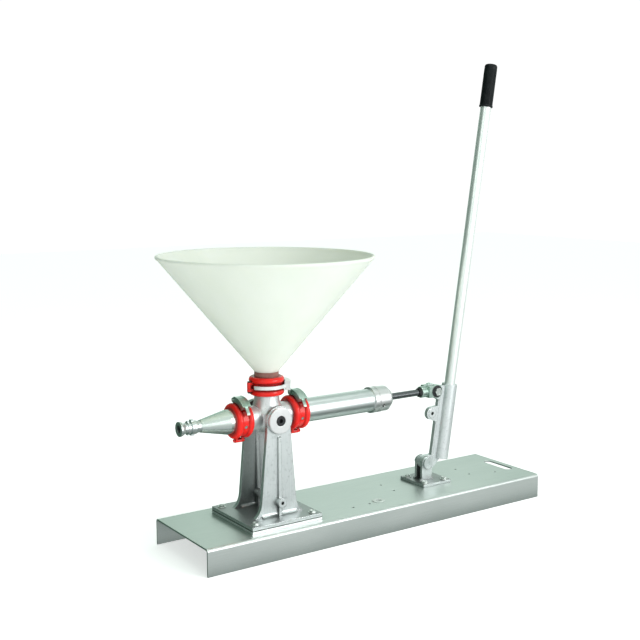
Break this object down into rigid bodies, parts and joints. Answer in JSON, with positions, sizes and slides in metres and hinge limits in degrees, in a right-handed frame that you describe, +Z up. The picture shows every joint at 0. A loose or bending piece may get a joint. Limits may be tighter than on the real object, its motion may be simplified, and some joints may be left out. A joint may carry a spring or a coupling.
{
  "type": "piston liquid filler",
  "caption": "Hand-lever piston filler: cone hopper on a valve head, horizontal cylinder on trunnions, long lever and rod, all on a folded sheet channel base.",
  "frame": {"origin": "on the floor, at the middle of the part's footprint, from the hopper's rim at the outlet end to the base's end beyond the lever", "axes": "+X from the outlet to the lever, +Y from front to back, +Z up"},
  "size_m": [1.0389, 0.508, 1.157],
  "materials": {
    "stainless_sheet": "brushed",
    "cast_aluminium": "satin cast",
    "machined_aluminium": "turned",
    "polished_steel": "polished",
    "zinc_steel": "zinc plated",
    "galvanised_pipe": "galvanised",
    "red_enamel": "gloss enamel",
    "black_oxide": "black oxide",
    "dark_chrome": "hard chrome",
    "poly_cream": "translucent polyethylene",
    "poly_smoke": "translucent",
    "black_rubber": "moulded",
    "valve_ball": "moulded",
    "bronze": "turned"
  },
  "bodies": {
    "root": {"base_channel": "stainless_sheet", "base_grommet": "black_rubber", "spacer_plate": "galvanised_pipe", "pedestal": "cast_aluminium", "pedestal_bolts": "zinc_steel", "trunnion_pin_front": "machined_aluminium", "trunnion_pin_back": "machined_aluminium", "trunnion_screws": "black_oxide", "lever_bracket": "cast_aluminium", "bracket_bolts": "zinc_steel", "pivot_bolt": "zinc_steel", "pivot_nut": "zinc_steel"},
    "pump": {"pump_head": "cast_aluminium", "suction_seat": "black_rubber", "suction_cage": "polished_steel", "discharge_seat": "black_rubber", "discharge_cage": "polished_steel", "outlet_cone": "polished_steel", "hose_coupler": "machined_aluminium", "cylinder_tube": "polished_steel", "gland_cap": "machined_aluminium", "gland_bush": "bronze", "rod_wiper": "black_rubber", "hopper_neck": "poly_smoke", "hopper": "poly_cream", "outlet_gasket": "black_rubber", "outlet_clamp_fixed": "red_enamel", "outlet_clamp_hinge_pin": "black_oxide", "cylinder_gasket": "black_rubber", "cylinder_clamp_fixed": "red_enamel", "cylinder_clamp_hinge_pin": "black_oxide", "hopper_gasket": "black_rubber", "hopper_clamp_fixed": "red_enamel", "hopper_clamp_hinge_pin": "black_oxide", "outlet_clamp_screw": "zinc_steel", "cylinder_clamp_screw": "zinc_steel"},
    "rod": {"piston_rod": "dark_chrome", "piston": "machined_aluminium", "piston_cups": "black_rubber", "piston_nut": "zinc_steel", "rod_locknut": "black_oxide", "rod_clevis": "zinc_steel", "clevis_bolt": "zinc_steel", "clevis_nut": "zinc_steel"},
    "lever": {"lever_casting": "cast_aluminium", "handle_pipe": "galvanised_pipe", "handle_grip": "black_rubber", "socket_screws": "black_oxide"},
    "suction_ball": {"suction_ball": "valve_ball"},
    "discharge_ball": {"discharge_ball": "valve_ball"},
    "outlet_clamp_half": {"outlet_clamp_swing": "red_enamel", "outlet_clamp_toggle_pin": "zinc_steel"},
    "outlet_toggle": {"outlet_clamp_toggle": "zinc_steel"},
    "cylinder_clamp_half": {"cylinder_clamp_swing": "red_enamel", "cylinder_clamp_toggle_pin": "zinc_steel"},
    "cylinder_toggle": {"cylinder_clamp_toggle": "zinc_steel"},
    "hopper_clamp_half": {"hopper_clamp_swing": "red_enamel", "hopper_clamp_toggle_pin": "zinc_steel"},
    "hopper_toggle": {"hopper_clamp_toggle": "zinc_steel"}
  },
  "joints": [
    {"name": "lever_swing", "type": "hinge", "parent": "root", "child": "lever", "pos_m": [0.2195, 0, 0.117], "axis": [0, 1, 0], "range_deg": [-24, 0]},
    {"name": "pump_tilt", "type": "hinge", "parent": "root", "child": "pump", "pos_m": [-0.2655, 0, 0.306], "axis": [0, 1, 0], "range_deg": [0, 0.3]},
    {"name": "rod_slide", "type": "slide", "parent": "pump", "child": "rod", "axis": [1, 0, 0], "range_m": [-0.08, 0]},
    {"name": "suction_ball_lift", "type": "slide", "parent": "pump", "child": "suction_ball", "axis": [0, 0, 1], "range_m": [0, 0.0078]},
    {"name": "discharge_ball_travel", "type": "slide", "parent": "pump", "child": "discharge_ball", "axis": [-1, 0, 0], "range_m": [0, 0.0078]},
    {"name": "outlet_clamp_open", "type": "hinge", "parent": "pump", "child": "outlet_clamp_half", "pos_m": [-0.3425, 0, 0.2585], "axis": [-1, 0, 0], "range_deg": [0, 30]},
    {"name": "outlet_toggle_open", "type": "hinge", "parent": "outlet_clamp_half", "child": "outlet_toggle", "pos_m": [-0.3425, 0.007, 0.354], "axis": [-1, 0, 0], "range_deg": [0, 120]},
    {"name": "cylinder_clamp_open", "type": "hinge", "parent": "pump", "child": "cylinder_clamp_half", "pos_m": [-0.1875, 0, 0.2585], "axis": [-1, 0, 0], "range_deg": [0, 30]},
    {"name": "cylinder_toggle_open", "type": "hinge", "parent": "cylinder_clamp_half", "child": "cylinder_toggle", "pos_m": [-0.1875, 0.007, 0.354], "axis": [-1, 0, 0], "range_deg": [0, 120]},
    {"name": "hopper_clamp_open", "type": "hinge", "parent": "pump", "child": "hopper_clamp_half", "pos_m": [-0.313, 0, 0.381], "axis": [0, 0, 1], "range_deg": [0, 30]},
    {"name": "hopper_toggle_open", "type": "hinge", "parent": "hopper_clamp_half", "child": "hopper_toggle", "pos_m": [-0.2175, 0.007, 0.381], "axis": [0, 0, 1], "range_deg": [0, 120]}
  ],
  "couplings": [
    {"joint": "rod_slide", "follows": "lever_swing", "m_per_rad": 0.18935},
    {"joint": "pump_tilt", "follows": "lever_swing", "ratio": -0.0107},
    {"joint": "outlet_clamp_open", "follows": "outlet_toggle_open", "ratio": 0.25},
    {"joint": "cylinder_clamp_open", "follows": "cylinder_toggle_open", "ratio": 0.25},
    {"joint": "hopper_clamp_open", "follows": "hopper_toggle_open", "ratio": 0.25}
  ]
}
